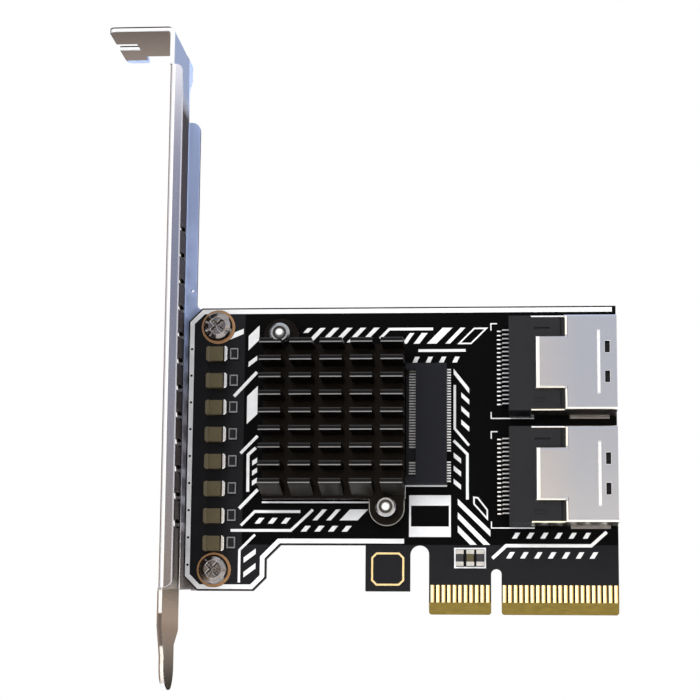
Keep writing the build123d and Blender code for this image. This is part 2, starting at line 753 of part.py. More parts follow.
# Ports: a moulded housing with a card slot, a folded metal shell and two rows of contacts
for where, centre in port_centres.items():
    half = port_width / 2
    port_plane = Plane((0, 0, centre), x_dir=(1, 0, 0), z_dir=(0, -1, 0))

    with BuildPart() as housing:
        with BuildSketch(port_plane):
            with Locations(((port_rear + shell_rear) / 2, 0)):
                Rectangle(shell_rear - port_rear, port_width)
            with Locations(((arm_rear + shell_rear) / 2, half), ((arm_rear + shell_rear) / 2, -half)):
                Rectangle(shell_rear - arm_rear, 2 * port_sheet, mode=Mode.SUBTRACT)
        extrude(amount=housing_height)
        with BuildSketch(port_plane.offset(port_sheet)):
            with Locations(((shell_rear + nose_end) / 2, 0)):
                Rectangle(nose_end - shell_rear, port_width - 2 * port_sheet)
        extrude(amount=housing_height - port_sheet)
        # Liner along the shell's upper wall, behind the latch windows
        with BuildSketch(port_plane.offset(port_height - port_sheet - liner_thick)):
            with Locations(((nose_end + shell_mouth - liner_inset) / 2, 0)):
                Rectangle(shell_mouth - liner_inset - nose_end, port_width - 2 * port_sheet)
        extrude(amount=housing_height - port_height + port_sheet + liner_thick)
        # Card slot in the nose
        with BuildSketch(Plane.YZ.offset(nose_end)):
            with Locations((-port_height / 2, centre)):
                Rectangle(card_slot_width, card_slot_length)
        extrude(amount=-card_slot_depth, mode=Mode.SUBTRACT)
        # Moulding marks on the top: a groove on one side and two ribs on the other
        with BuildSketch(port_plane.offset(housing_height)):
            with Locations((8.4, half - 2.3)):
                Rectangle(2.9, 0.35)
            with Locations((shell_rear - 0.55, half - 2.2), (shell_rear - 0.55, -half + 2.2)):
                Rectangle(0.3, 3.6)
        extrude(amount=-0.3, mode=Mode.SUBTRACT)
        with BuildSketch(port_plane.offset(housing_height)):
            with Locations((7.9, -half + 2.4), (7.9, -half + 1.7)):
                Rectangle(2.0, 0.28)
        extrude(amount=0.15)
    housing.part.label = f"{where}_port_housing"
    export_step(housing.part, f"parts/{where}_port_housing.step")

    with BuildPart() as shell:
        with BuildSketch(port_plane) as shell_plan:
            with Locations(((shell_rear + shell_mouth) / 2, 0)):
                Rectangle(shell_mouth - shell_rear, port_width)
        extrude(amount=port_height)
        with BuildSketch(port_plane.offset(housing_height)):
            with Locations(((saddle_rear + shell_rear) / 2, 0)):
                Rectangle(shell_rear - saddle_rear, saddle_width)
        extrude(amount=port_height - housing_height)
        top_edges = shell.faces().sort_by(Axis.Y)[0].edges()
        fillet(top_edges.sort_by(Axis.X)[:-1], radius=shell_roll)
        with BuildSketch(port_plane.offset(housing_height)):
            with Locations(((shell_rear + shell_mouth) / 2 + port_sheet, 0)):
                Rectangle(shell_mouth - shell_rear, port_width - 2 * port_sheet)
            with Locations(((saddle_rear + shell_rear) / 2 + port_sheet, 0)):
                Rectangle(shell_rear - saddle_rear, saddle_width - 2 * port_sheet)
        extrude(amount=port_height - housing_height - port_sheet, mode=Mode.SUBTRACT)
        with BuildSketch(port_plane.offset(port_sheet)):
            with Locations(((shell_rear + shell_mouth) / 2, 0)):
                Rectangle(shell_mouth - shell_rear, port_width - 2 * port_sheet)
        extrude(amount=housing_height - port_sheet, mode=Mode.SUBTRACT)
        # Side arms that grip the housing
        with BuildSketch(port_plane.offset(arm_drop)):
            for side in (-1, 1):
                with Locations(((arm_rear + shell_rear) / 2, side * (half - port_sheet / 2))):
                    Rectangle(shell_rear - arm_rear, port_sheet)
        extrude(amount=housing_height - arm_drop - 0.2)
        # Latch windows, stiffening rib and solder flanges
        with BuildSketch(port_plane.offset(port_height)):
            with Locations((shell_mouth - latch_from_mouth, 0)):
                with GridLocations(1, latch_spread, 1, 2):
                    Rectangle(latch_width, latch_length)
        extrude(amount=-port_sheet, mode=Mode.SUBTRACT)
        with BuildSketch(port_plane.offset(port_height)):
            with Locations((shell_mouth - rib_from_mouth, 0)):
                Rectangle(rib_width, rib_length)
        extrude(amount=rib_rise)
        with BuildSketch(port_plane):
            for side in (-1, 1):
                with Locations(((shell_rear + shell_mouth) / 2, side * (half + solder_flange_reach / 2))):
                    Rectangle(solder_flange_length, solder_flange_reach)
        extrude(amount=port_sheet)
    shell.part.label = f"{where}_port_shell"
    export_step(shell.part, f"parts/{where}_port_shell.step")

    with BuildPart() as contacts:
        # Leads behind the housing, bent down to the board
        row_bottom = centre + lead_row_shift - lead_pitch * (lead_count - 1) / 2 - lead_width / 2
        with BuildSketch(Plane.XY.offset(row_bottom)):
            with BuildLine():
                Polyline(
                    (lead_foot, 0),
                    (lead_foot + lead_toe, 0),
                    (lead_foot + lead_toe + lead_slope, -lead_rise + lead_thick),
                    (port_rear, -lead_rise + lead_thick),
                    (port_rear, -lead_rise),
                    (lead_foot + lead_toe + lead_slope - lead_thick, -lead_rise),
                    (lead_foot + lead_toe - lead_thick, -lead_thick),
                    (lead_foot, -lead_thick),
                    close=True,
                )
            make_face()
        lead = extrude(amount=lead_width)
        with Locations([(0, 0, lead_pitch * n) for n in range(1, lead_count)]):
            add(lead)
        # Spring blades on both walls of the card slot
        with BuildSketch(Plane.YZ.offset(nose_end - lead_slope)):
            for side in (-1, 1):
                wall = -port_height / 2 + side * (card_slot_width - lead_thick) / 2
                with Locations((wall, centre)):
                    with GridLocations(1, 2 * lead_pitch, 1, lead_count // 2):
                        Rectangle(lead_thick, 2 * lead_width)
        extrude(amount=-card_contact_length)
    contacts.part.label = f"{where}_port_contacts"
    export_step(contacts.part, f"parts/{where}_port_contacts.step")


# Module socket: moulded body with a mouth between two cheeks, and two rows of contacts
socket_middle = (socket_bottom + socket_top) / 2
wall_left = socket_left + socket_step

with BuildPart() as module_socket_body:
    with BuildSketch(face):
        with Locations(((socket_left + socket_right) / 2, socket_middle)):
            Rectangle(socket_right - socket_left, socket_top - socket_bottom)
    extrude(amount=socket_height)
    with BuildSketch(face.offset(socket_height)):
        with Locations(((socket_left + wall_left) / 2, socket_middle)):
            Rectangle(socket_step, socket_top - socket_bottom - 2 * socket_cheek)
    extrude(amount=socket_shelf - socket_height, mode=Mode.SUBTRACT)
    with BuildSketch(Plane.YZ.offset(wall_left)):
        with Locations((-socket_shelf - socket_mouth_width / 2, socket_middle)):
            Rectangle(socket_mouth_width, socket_top - socket_bottom - 2 * socket_cheek)
    extrude(amount=socket_mouth_depth, mode=Mode.SUBTRACT)
module_socket_body.part.label = "module_socket_body"
export_step(module_socket_body.part, "parts/module_socket_body.step")

long_row_middle = socket_top - socket_cheek + 0.65 - socket_pitch * socket_long_row / 2
short_row_middle = socket_bottom + 0.4 + socket_pitch * socket_short_row / 2

with BuildPart() as module_socket_contacts:
    # Tails on the board behind the body
    with BuildSketch(face):
        tail_x = socket_right + socket_tail / 2
        with Locations((tail_x, long_row_middle)):
            with GridLocations(1, socket_pitch, 1, socket_long_row):
                Rectangle(socket_tail, socket_contact_width)
        with Locations((tail_x, short_row_middle)):
            with GridLocations(1, socket_pitch, 1, socket_short_row):
                Rectangle(socket_tail, socket_contact_width)
    extrude(amount=socket_contact_thick)
    # Blades on the shelf of the mouth
    with BuildSketch(face.offset(socket_shelf)):
        blade_middle = wall_left - 0.1
        with Locations((blade_middle, long_row_middle)):
            with GridLocations(1, socket_pitch, 1, socket_long_row - 2):
                Rectangle(2.4, socket_contact_width)
        with Locations((blade_middle, short_row_middle + 0.5)):
            with GridLocations(1, socket_pitch, 1, socket_short_row - 3):
                Rectangle(2.4, socket_contact_width)
    extrude(amount=socket_contact_thick)
module_socket_contacts.part.label = "module_socket_contacts"
export_step(module_socket_contacts.part, "parts/module_socket_contacts.step")


# Ceramic capacitors in a column beside the bracket
for n in range(capacitor_count):
    place = (capacitor_x, capacitor_first + capacitor_pitch * n)
    body_long = capacitor_long - 2 * capacitor_end
    with BuildPart() as body:
        with BuildSketch(face.offset(capacitor_waist)):
            with Locations(place):
                Rectangle(body_long, capacitor_wide - 2 * capacitor_waist)
        extrude(amount=capacitor_high - 2 * capacitor_waist)
    body.part.label = f"capacitor_body_{n + 1}"
    export_step(body.part, f"parts/capacitor_body_{n + 1}.step")

    with BuildPart() as ends:
        with BuildSketch(face):
            with Locations(place):
                with GridLocations(capacitor_long - capacitor_end, 1, 2, 1):
                    Rectangle(capacitor_end, capacitor_wide)
        extrude(amount=capacitor_high)
        outer = ends.edges().filter_by(Axis.Y).group_by(Axis.X)
        chamfer(outer[0] + outer[-1], length=capacitor_end_corner)
    ends.part.label = f"capacitor_ends_{n + 1}"
    export_step(ends.part, f"parts/capacitor_ends_{n + 1}.step")


# Small chip parts above the edge contacts
for n, x in enumerate(small_chip_xs):
    with BuildPart() as chip:
        with BuildSketch(face):
            with Locations((x, small_chip_middle)):
                Rectangle(small_chip_wide - 0.1, small_chip_long - 2 * small_chip_end)
        extrude(amount=small_chip_high - 0.05)
    chip.part.label = f"small_chip_{n + 1}"
    export_step(chip.part, f"parts/small_chip_{n + 1}.step")

    with BuildPart() as chip_ends:
        with BuildSketch(face):
            with Locations((x, small_chip_middle)):
                with GridLocations(1, small_chip_long - small_chip_end, 1, 2):
                    Rectangle(small_chip_wide, small_chip_end)
        extrude(amount=small_chip_high)
    chip_ends.part.label = f"small_chip_ends_{n + 1}"
    export_step(chip_ends.part, f"parts/small_chip_ends_{n + 1}.step")
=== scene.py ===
import bpy
from math import pi, radians
from mathutils import Matrix, Vector


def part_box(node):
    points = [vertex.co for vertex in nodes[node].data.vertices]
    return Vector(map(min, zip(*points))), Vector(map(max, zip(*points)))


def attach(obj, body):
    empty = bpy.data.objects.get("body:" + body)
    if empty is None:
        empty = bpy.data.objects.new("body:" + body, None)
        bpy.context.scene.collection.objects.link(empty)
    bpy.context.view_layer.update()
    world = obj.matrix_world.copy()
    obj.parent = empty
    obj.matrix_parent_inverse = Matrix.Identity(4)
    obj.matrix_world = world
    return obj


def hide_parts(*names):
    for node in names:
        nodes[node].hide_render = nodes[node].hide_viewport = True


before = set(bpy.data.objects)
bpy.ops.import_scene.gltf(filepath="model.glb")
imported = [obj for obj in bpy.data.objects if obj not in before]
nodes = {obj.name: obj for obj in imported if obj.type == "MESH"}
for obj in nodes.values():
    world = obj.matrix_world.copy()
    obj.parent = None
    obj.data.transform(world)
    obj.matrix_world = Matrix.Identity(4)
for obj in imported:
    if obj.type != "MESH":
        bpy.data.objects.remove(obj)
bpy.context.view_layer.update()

mm = 0.001

# The studio. The camera stands in front of the card and a little below it, as in the photograph,
# where the card floats on plain white. A pale floor lies well under the tongue of the bracket,
# and large soft lamps in front, above and at both sides light the card plainly.
bpy.ops.object.select_all(action="DESELECT")
bpy.ops.object.camera_add(location=(4.59 * mm, -388.21 * mm, -19.16 * mm))
camera = bpy.context.object
camera.name = "camera"
heading = Matrix.Rotation(radians(4.631), 3, "Z")
tilt = Matrix.Rotation(radians(90 + 9.853), 3, "X")
roll = Matrix.Rotation(radians(0.501), 3, "Z")
camera.rotation_euler = (heading @ tilt @ roll).to_euler()
camera.data.sensor_width = 36
camera.data.lens = 109.97
camera.data.clip_start = 0.01
camera.data.clip_end = 20
bpy.context.scene.camera = camera
bpy.context.scene.view_settings.view_transform = "Standard"

card_middle = Vector((-0.015, 0, 0.035))
# Each lamp's place, side, power and tint
lamps = {
    "lamp_front": ((-0.4, -0.85, 0.7), 0.7, 9.5, (1.0, 0.985, 0.96)),
    "lamp_right": ((0.85, -0.35, 0.3), 0.45, 3.4, (1.0, 0.96, 0.9)),
    "lamp_left": ((-0.85, -0.2, 0.35), 0.45, 3.6, (0.9, 0.95, 1.0)),
    "lamp_top": ((0.05, 0.0, 0.9), 0.5, 3.5, (0.95, 0.97, 1.0)),
    "lamp_behind": ((0.1, 0.8, 0.3), 0.5, 4.5, (1.0, 1.0, 1.0)),
}
for name, (place, side, power, tint) in lamps.items():
    bpy.ops.object.light_add(type="AREA", location=place)
    lamp = bpy.context.object
    lamp.name = name
    lamp.data.size = side
    lamp.data.energy = power
    lamp.data.color = tint
    lamp.visible_glossy = False
    lamp.rotation_euler = (card_middle - Vector(place)).to_track_quat("-Z", "Y").to_euler()



def maths(tree, operation, *terms):
    """One step of arithmetic on sockets and numbers."""
    step = tree.nodes.new("ShaderNodeMath")
    step.operation = operation
    for n, term in enumerate(terms):
        if isinstance(term, bpy.types.NodeSocket):
            tree.links.new(term, step.inputs[n])
        else:
            step.inputs[n].default_value = term
    return step.outputs[0]


# The world: plain low light, which camera, gloss and glass see as white
world = bpy.data.worlds.new("studio")
bpy.context.scene.world = world
world.use_nodes = True
world.cycles.sampling_method = "NONE"
tree = world.node_tree
tree.nodes.clear()
plain = tree.nodes.new("ShaderNodeBackground")
plain.inputs["Color"].default_value = (0.95, 0.96, 1.0, 1)
plain.inputs["Strength"].default_value = 0.4
white = tree.nodes.new("ShaderNodeBackground")
white.inputs["Color"].default_value = (1, 1, 1, 1)
white.inputs["Strength"].default_value = 1.0
rays = tree.nodes.new("ShaderNodeLightPath")
seen = maths(tree, "MAXIMUM", rays.outputs["Is Camera Ray"], rays.outputs["Is Glossy Ray"])
shown = maths(tree, "MAXIMUM", seen, rays.outputs["Is Transmission Ray"])
blend = tree.nodes.new("ShaderNodeMixShader")
sky = tree.nodes.new("ShaderNodeOutputWorld")
tree.links.new(shown, blend.inputs[0])
tree.links.new(plain.outputs[0], blend.inputs[1])
tree.links.new(white.outputs[0], blend.inputs[2])
tree.links.new(blend.outputs[0], sky.inputs[0])

bpy.ops.object.select_all(action="DESELECT")
floor_height = -0.075
bpy.ops.mesh.primitive_plane_add(size=6, location=(0, 0, floor_height))
floor = bpy.context.object
floor.name = "floor"
paint = bpy.data.materials.new("floor_paint")
paint.use_nodes = True
shader = paint.node_tree.nodes["Principled BSDF"]
shader.inputs["Base Color"].default_value = (0.86, 0.86, 0.86, 1)
shader.inputs["Roughness"].default_value = 0.9
floor.data.materials.append(paint)

# Painted walls that only gloss shows. The one behind the camera is brown low down and blue above on
# the left, pale on the right with a bright strip at the contacts' height, and white at its far left.
# The one behind the card is dark low down, brown at the card's foot and blue above.


def own_place(tree):
    """Where a point lies on the object, as X, Y and Z."""
    place = tree.nodes.new("ShaderNodeTexCoord")
    axes = tree.nodes.new("ShaderNodeSeparateXYZ")
    tree.links.new(place.outputs["Object"], axes.inputs[0])
    return axes.outputs


def over(tree, value, low, high):
    """A mask that rises from 0 at one value to 1 at another."""
    span = tree.nodes.new("ShaderNodeMapRange")
    span.inputs["From Min"].default_value = low
    span.inputs["From Max"].default_value = high
    tree.links.new(value, span.inputs["Value"])
    return span.outputs[0]


def two_tones(tree, mask, first, second):
    """Mixes two colours, or sockets with colours, by a mask."""
    mix = tree.nodes.new("ShaderNodeMix")
    mix.data_type = "RGBA"
    for side, tone in (("A", first), ("B", second)):
        if isinstance(tone, bpy.types.NodeSocket):
            tree.links.new(tone, mix.inputs[side])
        else:
            mix.inputs[side].default_value = (*tone, 1)
    tree.links.new(mask, mix.inputs["Factor"])
    return mix.outputs["Result"]


def height_colours(tree, height, stops):
    """A colour by height: pairs of a height in metres and a colour."""
    low, high = stops[0][0], stops[-1][0]
    colours = tree.nodes.new("ShaderNodeValToRGB")
    for n, (z, colour) in enumerate(stops):
        at = (z - low) / (high - low)
        stop = colours.color_ramp.elements[n] if n < 2 else colours.color_ramp.elements.new(at)
        stop.position = at
        stop.color = (*colour, 1)
    tree.links.new(over(tree, height, low, high), colours.inputs[0])
    return colours.outputs["Color"]


def painted_wall(name, y, left_stops, right_stops=None, white_end=None):
    """A wall that gloss alone sees, with colours by height for its left and right parts."""
    bpy.ops.object.select_all(action="DESELECT")
    bpy.ops.mesh.primitive_plane_add(size=6, location=(0, y, 0), rotation=(pi / 2, 0, 0))
    wall = bpy.context.object
    wall.name = name
    bpy.ops.object.transform_apply(location=True, rotation=True, scale=True)
    wall.visible_camera = False
    wall.visible_diffuse = False
    wall.visible_shadow = False
    glow = bpy.data.materials.new(name + "_paint")
    glow.use_nodes = True
    tree = glow.node_tree
    tree.nodes.clear()
    where = own_place(tree)
    shade = height_colours(tree, where["Z"], left_stops)
    for stops, first, last in ((right_stops, -0.22, -0.12), (white_end, -0.48, -0.62)):
        if stops is None:
            continue
        part = over(tree, where["X"], first, last)
        shade = two_tones(tree, part, shade, height_colours(tree, where["Z"], stops))
    light = tree.nodes.new("ShaderNodeEmission")
    surface = tree.nodes.new("ShaderNodeOutputMaterial")
    tree.links.new(shade, light.inputs["Color"])
    tree.links.new(light.outputs[0], surface.inputs[0])
    wall.data.materials.append(glow)


painted_wall(
    "wall_behind_camera",
    -1.4,
    [
        (-0.6, (0.1, 0.075, 0.05)),
        (0.02, (0.26, 0.2, 0.14)),
        (0.12, (0.42, 0.36, 0.3)),
        (0.22, (0.36, 0.36, 0.4)),
        (0.34, (0.3, 0.33, 0.43)),
        (0.49, (0.36, 0.38, 0.5)),
        (0.54, (1.7, 1.7, 1.7)),
        (1.4, (1.0, 1.0, 1.0)),
    ],
    [
        (-0.3, (0.3, 0.24, 0.18)),
        (0.02, (0.7, 0.55, 0.36)),
        (0.06, (2.6, 2.35, 1.85)),
        (0.11, (2.6, 2.4, 2.0)),
        (0.14, (0.95, 0.93, 0.91)),
        (0.2, (1.0, 0.98, 1.0)),
        (0.3, (1.08, 1.1, 1.16)),
        (0.6, (1.1, 1.15, 1.25)),
    ],
    [(-0.6, (0.9, 0.8, 0.65)), (0.0, (1.7, 1.55, 1.35)), (0.3, (1.7, 1.65, 1.6)), (1.4, (1.6, 1.6, 1.7))],
)
painted_wall(
    "wall_behind_card",
    0.3,
    [
        (-0.3, (0.01, 0.008, 0.006)),
        (-0.008, (0.04, 0.034, 0.028)),
        (0.003, (0.28, 0.23, 0.19)),
        (0.015, (0.52, 0.43, 0.37)),
        (0.05, (0.22, 0.18, 0.16)),
        (0.11, (0.16, 0.15, 0.17)),
        (0.16, (0.36, 0.42, 0.6)),
        (0.3, (0.46, 0.58, 0.84)),
        (0.9, (0.8, 0.9, 1.1)),
    ],
)

# The circuit board: glass-fibre laminate with black solder mask on both faces. The bevel at the
# contact edge shows the bare yellow-brown laminate. The mask looks a shade lighter where copper lies
# under it, round the rim, than in the dark field that carries the legend.


def socket_group(name, inputs, outputs):
    """An empty shader group with its input and output sockets."""
    group = bpy.data.node_groups.new(name, "ShaderNodeTree")
    for label, kind, value in inputs:
        socket = group.interface.new_socket(name=label, in_out="INPUT", socket_type=kind)
        socket.default_value = value
    for label, kind in outputs:
        group.interface.new_socket(name=label, in_out="OUTPUT", socket_type=kind)
    return group, group.nodes.new("NodeGroupInput"), group.nodes.new("NodeGroupOutput")


# Rounded edges: the normal of an edge that is broken by a small radius, and a mask of where it is
rounded_edges, given, result = socket_group(
    "rounded_edges",
    [("Radius", "NodeSocketFloat", 0.1 * mm), ("Spread", "NodeSocketFloat", 6.0)],
    [("Normal", "NodeSocketVector"), ("Edge", "NodeSocketFloat")],
)
soft = rounded_edges.nodes.new("ShaderNodeBevel")
soft.samples = 6
flat = rounded_edges.nodes.new("ShaderNodeNewGeometry")
angle = rounded_edges.nodes.new("ShaderNodeVectorMath")
angle.operation = "DOT_PRODUCT"
turned = rounded_edges.nodes.new("ShaderNodeMath")
turned.operation = "SUBTRACT"
turned.inputs[0].default_value = 1
spread = rounded_edges.nodes.new("ShaderNodeMath")
spread.operation = "MULTIPLY"
spread.use_clamp = True
rounded_edges.links.new(given.outputs["Radius"], soft.inputs["Radius"])
rounded_edges.links.new(soft.outputs[0], angle.inputs[0])
rounded_edges.links.new(flat.outputs["Normal"], angle.inputs[1])
rounded_edges.links.new(angle.outputs["Value"], turned.inputs[1])
rounded_edges.links.new(turned.outputs[0], spread.inputs[0])
rounded_edges.links.new(given.outputs["Spread"], spread.inputs[1])
rounded_edges.links.new(soft.outputs[0], result.inputs["Normal"])
rounded_edges.links.new(spread.outputs[0], result.inputs["Edge"])

# Grain: fine noise that can be drawn out along one direction, as a value about one half
grain, given, result = socket_group(
    "grain",
    [("Size", "NodeSocketVector", (1000.0, 1000.0, 1000.0)), ("Detail", "NodeSocketFloat", 3.0)],
    [("Grain", "NodeSocketFloat")],
)
place = grain.nodes.new("ShaderNodeTexCoord")
stretch = grain.nodes.new("ShaderNodeVectorMath")
stretch.operation = "MULTIPLY"
cloud = grain.nodes.new("ShaderNodeTexNoise")
cloud.inputs["Scale"].default_value = 1
grain.links.new(place.outputs["Object"], stretch.inputs[0])
grain.links.new(given.outputs["Size"], stretch.inputs[1])
grain.links.new(stretch.outputs[0], cloud.inputs["Vector"])
grain.links.new(given.outputs["Detail"], cloud.inputs["Detail"])
grain.links.new(cloud.outputs["Fac"], result.inputs["Grain"])


def new_finish(name, metallic=0.0, specular=0.5):
    """A new material with its node tree and its shader."""
    material = bpy.data.materials.new(name)
    material.use_nodes = True
    tree = material.node_tree
    shader = tree.nodes["Principled BSDF"]
    shader.inputs["Metallic"].default_value = metallic
    shader.inputs["Specular IOR Level"].default_value = specular
    return material, tree, shader


def facing_way(tree):
    """Which way a surface faces, as X, Y and Z."""
    geometry = tree.nodes.new("ShaderNodeNewGeometry")
    axes = tree.nodes.new("ShaderNodeSeparateXYZ")
    tree.links.new(geometry.outputs["Normal"], axes.inputs[0])
    return axes.outputs


def add_group(tree, group, **values):
    """Places a shared group in a material with its own values."""
    node = tree.nodes.new("ShaderNodeGroup")
    node.node_tree = group
    for label, value in values.items():
        node.inputs[label].default_value = value
    return node


def spread_value(tree, mask, low, high):
    """Turns a mask from 0 to 1 into a value from low to high."""
    span = tree.nodes.new("ShaderNodeMapRange")
    span.inputs["To Min"].default_value = low
    span.inputs["To Max"].default_value = high
    tree.links.new(mask, span.inputs["Value"])
    return span.outputs[0]


def roughen(tree, shader, height, normal, strength, depth):
    """Raises a fine relief on a surface whose edges are broken."""
    relief = tree.nodes.new("ShaderNodeBump")
    relief.inputs["Strength"].default_value = strength
    relief.inputs["Distance"].default_value = depth
    tree.links.new(height, relief.inputs["Height"])
    tree.links.new(normal, relief.inputs["Normal"])
    tree.links.new(relief.outputs[0], shader.inputs["Normal"])


def plain_finish(name, first, second, roughness, size, radius, metallic=0.0, specular=0.5, bump=0.0, edge=None):
    """A finish with grain in its colour and roughness, broken edges and, if given, an edge colour that is
    rubbed wear and a painted highlight.
    """
    material, tree, shader = new_finish(name, metallic, specular)
    speck = add_group(tree, grain, Size=size)
    corner = add_group(tree, rounded_edges, Radius=radius)
    tone = two_tones(tree, speck.outputs["Grain"], first, second)
    gloss = spread_value(tree, speck.outputs["Grain"], roughness * 0.8, roughness * 1.2)
    tree.links.new(gloss, shader.inputs["Roughness"])
    if edge:
        tone = two_tones(tree, corner.outputs["Edge"], tone, edge)
    tree.links.new(tone, shader.inputs["Base Color"])
    if bump:
        roughen(tree, shader, speck.outputs["Grain"], corner.outputs["Normal"], bump, 0.05 * mm)
    else:
        tree.links.new(corner.outputs["Normal"], shader.inputs["Normal"])
    return material


def dress(name, material):
    """Gives a CAD node its finish."""
    nodes[name].data.materials.clear()
    nodes[name].data.materials.append(material)


solder_mask, tree, shader = new_finish("solder_mask", specular=0.05)
orange_peel = add_group(tree, grain, Size=(2600, 2600, 2600))
board_corner = add_group(tree, rounded_edges, Radius=0.12 * mm)
facing = facing_way(tree)
across = maths(tree, "ABSOLUTE", facing["Y"])
cut_edge = maths(tree, "LESS_THAN", across, 0.995)
where = own_place(tree)
# The lighter copper lies left of a line beside the capacitors, and under the board's shelf
copper_right = -46.4 * mm
copper_top = 12.5 * mm
beside = maths(tree, "LESS_THAN", where["X"], copper_right)
below = maths(tree, "LESS_THAN", where["Z"], copper_top)
copper = maths(tree, "MAXIMUM", beside, below)
mask_tone = two_tones(tree, copper, (0.0006, 0.0006, 0.0008), (0.0135, 0.0135, 0.0155))
fibre = add_group(tree, grain, Size=(600, 9000, 2500))
laminate = two_tones(tree, fibre.outputs["Grain"], (0.12, 0.085, 0.018), (0.27, 0.195, 0.045))
# Only the bevel at the contact edge shows it pale: the other cut edges are dark
bevel_top = 2.2 * mm
bevel = maths(tree, "LESS_THAN", where["Z"], bevel_top)
rim_tone = two_tones(tree, bevel, (0.02, 0.017, 0.012), laminate)
skin = two_tones(tree, cut_edge, mask_tone, rim_tone)
tree.links.new(skin, shader.inputs["Base Color"])
gloss = spread_value(tree, orange_peel.outputs["Grain"], 0.36, 0.5)
tree.links.new(gloss, shader.inputs["Roughness"])
roughen(tree, shader, orange_peel.outputs["Grain"], board_corner.outputs["Normal"], 0.12, 0.03 * mm)
dress("circuit_board", solder_mask)

# The printed legend: white ink, silk-screened on the mask as stripes, ticks and lines.
# The ink lies thin and a little uneven, so the board darkens it in places.
legend_ink = plain_finish(
    "legend_ink", (0.8, 0.81, 0.83), (0.96, 0.96, 0.96), 0.6, (900, 900, 900), 0.02 * mm, specular=0.2
)
dress("white_legend", legend_ink)

# The edge contacts: copper pads plated with nickel and bright gold, at 1 mm pitch on both faces.
# Each one has a painted highlight, cream, on its left and painted shade, a deeper gold, on its
# right, where the plating turns from the light.
contact_gold = plain_finish(
    "contact_gold", (0.82, 0.6, 0.26), (0.98, 0.82, 0.5), 0.2, (400, 400, 1400), 0.03 * mm, metallic=1.0
)
finger_gold, tree, shader = new_finish("finger_gold", metallic=1)
where = own_place(tree)
half_contact_pitch = 0.5 * mm
middle = maths(tree, "SUBTRACT", where["X"], half_contact_pitch)
across = maths(tree, "WRAP", middle, half_contact_pitch, -half_contact_pitch)
uneven = add_group(tree, grain, Size=(300, 300, 900))
lit_cream = two_tones(tree, uneven.outputs["Grain"], (0.95, 0.82, 0.5), (1.0, 0.93, 0.68))
# Painted shade: each contact turns a deeper gold over its right part
colour = two_tones(tree, over(tree, across, 0.06 * mm, 0.2 * mm), lit_cream, (0.42, 0.27, 0.07))
tree.links.new(colour, shader.inputs["Base Color"])
gloss = spread_value(tree, uneven.outputs["Grain"], 0.1, 0.2)
tree.links.new(gloss, shader.inputs["Roughness"])
dress("edge_contacts_front", finger_gold)
dress("edge_contacts_back", finger_gold)

# The bracket: one sheet of nickel-plated steel, blanked, pierced and folded. Its plating is satin,
# with faint marks drawn along the sheet. Its colour carries painted reflections of the room, blue on
# the flange and warm on the tongue, painted highlights pale on the tongue's edge, and painted shade,
# dark brown, in the channel between lip and flange.
bracket_nickel, tree, shader = new_finish("bracket_nickel", specular=0)
drawn = add_group(tree, grain, Size=(2200, 2200, 60))
cast = add_group(tree, grain, Size=(30, 30, 14))
broken = add_group(tree, rounded_edges, Radius=0.2 * mm)
tint = two_tones(tree, cast.outputs["Grain"], (0.68, 0.69, 0.74), (0.8, 0.78, 0.77))
where = own_place(tree)
facing = facing_way(tree)


def shared(tree, *masks):
    """The part that all the masks share."""
    part = masks[0]
    for mask in masks[1:]:
        part = maths(tree, "MULTIPLY", part, mask)
    return part


def any_of(tree, *masks):
    """The part that any of the masks covers."""
    part = masks[0]
    for mask in masks[1:]:
        part = maths(tree, "MAXIMUM", part, mask)
    return part


def painted(tree, under, *layers):
    """Lays colours over another, each where its mask is 1."""
    for mask, colour in layers:
        under = two_tones(tree, mask, under, colour)
    return under


# Painted reflections: blue on the flange, greyer low on it, and warm on the tongue's inner face
flange_blue_reflection = shared(tree, over(tree, where["Y"], 1.2 * mm, 1.5 * mm), over(tree, where["Z"], 2 * mm, 40 * mm))
flange_low_reflection = shared(tree, flange_blue_reflection, over(tree, where["Z"], 52 * mm, 34 * mm))
inward = over(tree, facing["X"], 0.6, 0.8)
tongue_top_reflection = shared(
    tree, inward, over(tree, where["Z"], -9.5 * mm, -3 * mm), over(tree, where["Z"], 6 * mm, 4 * mm)
)
# Painted shade: dark brown in the channel between lip and flange
channel_shade = shared(
    tree, inward, over(tree, where["Z"], 97 * mm, 93 * mm), over(tree, where["Z"], -3 * mm, 6 * mm)
)
# The tongue's sheared front edge has a painted highlight above and below its taper, painted shade
# on the taper, and a painted shade line on its left
forward = over(tree, facing["Y"], -0.6, -0.8)
tongue_edge_highlight = shared(tree, over(tree, where["Z"], 3.5 * mm, 3.0 * mm), forward)
taper_shade = shared(tree, over(tree, where["Z"], -0.6 * mm, -0.9 * mm), forward)
tongue_low_highlight = shared(tree, over(tree, where["Z"], -6.3 * mm, -6.7 * mm), forward)
tongue_side_shade = shared(tree, tongue_edge_highlight, over(tree, where["X"], -58.72 * mm, -58.8 * mm))
# The walls of the vents, cut through the blade, painted dark as shade
side = maths(tree, "ABSOLUTE", facing["X"])
vent_wall_shade = shared(
    tree,
    over(tree, where["X"], -58.1 * mm, -58.3 * mm),
    over(tree, where["Y"], 1.4 * mm, 1.2 * mm),
    over(tree, where["Y"], -13.4 * mm, -13.2 * mm),
    over(tree, where["Z"], 12 * mm, 13 * mm),
    over(tree, where["Z"], 78 * mm, 77 * mm),
    over(tree, side, 0.6, 0.4),
)
# Painted reflection: the lip's flat face is a darker, lavender nickel
lip_reflection = shared(tree, over(tree, where["Y"], -15 * mm, -15.2 * mm), over(tree, where["X"], -58.1 * mm, -57.9 * mm))
